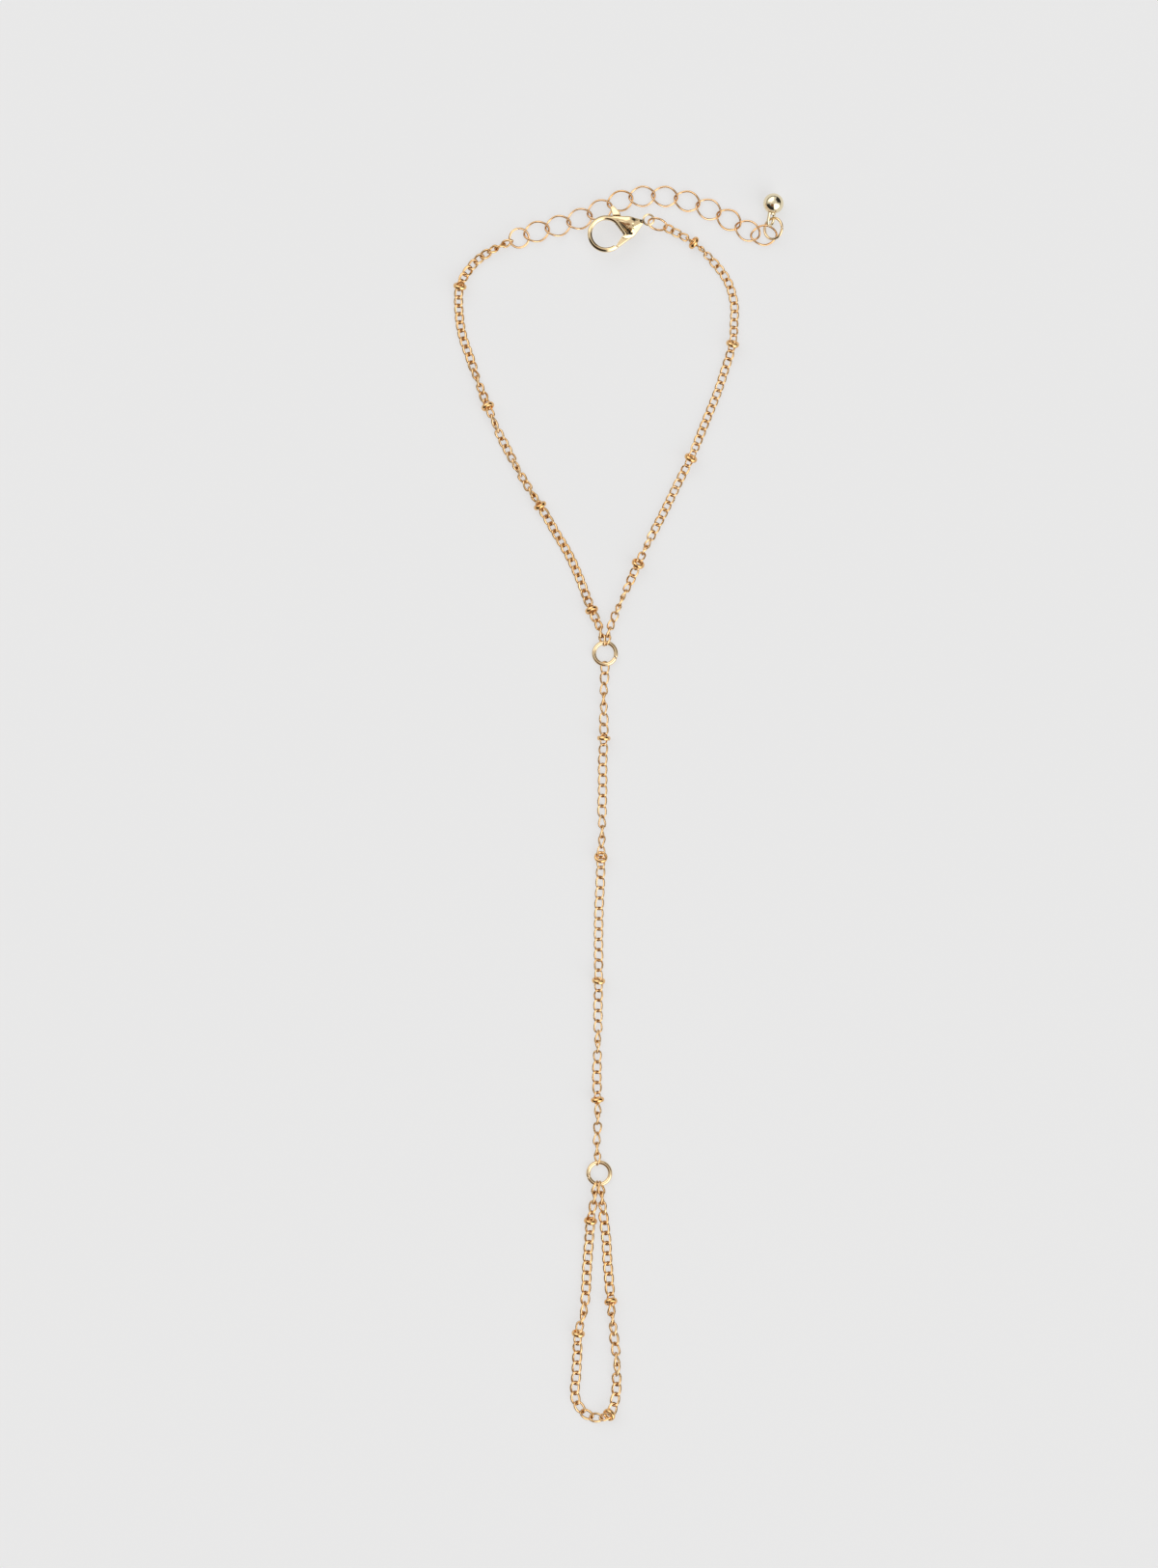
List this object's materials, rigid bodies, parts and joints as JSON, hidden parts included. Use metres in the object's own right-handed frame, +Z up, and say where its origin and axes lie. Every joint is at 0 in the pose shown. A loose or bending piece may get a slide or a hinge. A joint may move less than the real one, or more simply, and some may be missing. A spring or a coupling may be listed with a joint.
{
  "type": "hand chain bracelet",
  "caption": "Fine gold-tone hand chain: a beaded wrist loop with lobster clasp, extender and ball drop, a beaded stem and a beaded finger loop, lying flat.",
  "frame": {"origin": "on the surface it lies on, under the middle of its box", "axes": "+Y from the finger loop towards the wrist loop and extender, +X towards the ball drop, +Z up from the surface"},
  "size_m": [0.0569, 0.2133, 0.0035],
  "materials": {
    "chain_gold": "polished rose-gold plate",
    "extender_gold": "polished rose-gold plate",
    "ring_gold": "polished gold plate",
    "bead_gold": "faceted polished gold plate",
    "drop_gold": "mirror-polished pale gold plate",
    "clasp_gold": "mirror-polished pale gold plate"
  },
  "bodies": {
    "bracelet": {"wrist_chain_left": "chain_gold", "wrist_chain_right": "chain_gold", "stem_chain": "chain_gold", "finger_chain": "chain_gold", "start_ring": "extender_gold", "clasp_ring": "extender_gold", "extender_link_01": "extender_gold", "extender_link_02": "extender_gold", "extender_link_03": "extender_gold", "extender_link_04": "extender_gold", "extender_link_05": "extender_gold", "extender_link_06": "extender_gold", "extender_link_07": "extender_gold", "extender_link_08": "extender_gold", "extender_link_09": "extender_gold", "extender_link_10": "extender_gold", "extender_link_11": "extender_gold", "extender_link_12": "extender_gold", "wrist_joint_ring": "ring_gold", "finger_joint_ring": "ring_gold", "bead_01": "bead_gold", "bead_02": "bead_gold", "bead_03": "bead_gold", "bead_04": "bead_gold", "bead_05": "bead_gold", "bead_06": "bead_gold", "bead_07": "bead_gold", "bead_08": "bead_gold", "bead_09": "bead_gold", "bead_10": "bead_gold", "bead_11": "bead_gold", "bead_12": "bead_gold", "bead_13": "bead_gold", "bead_14": "bead_gold", "bead_15": "bead_gold", "bead_16": "bead_gold", "end_ring": "drop_gold", "ball_drop": "drop_gold", "clasp_body": "clasp_gold", "clasp_rivet": "clasp_gold"},
    "lever": {"clasp_lever": "clasp_gold"}
  },
  "joints": [
    {"name": "clasp_lever_hinge", "type": "hinge", "parent": "bracelet", "child": "lever", "pos_m": [0.0014, 0.0993, 0.00205], "axis": [0, 0, -1], "range_deg": [0, 25], "stiffness_Nm_per_rad": 0.001}
  ]
}
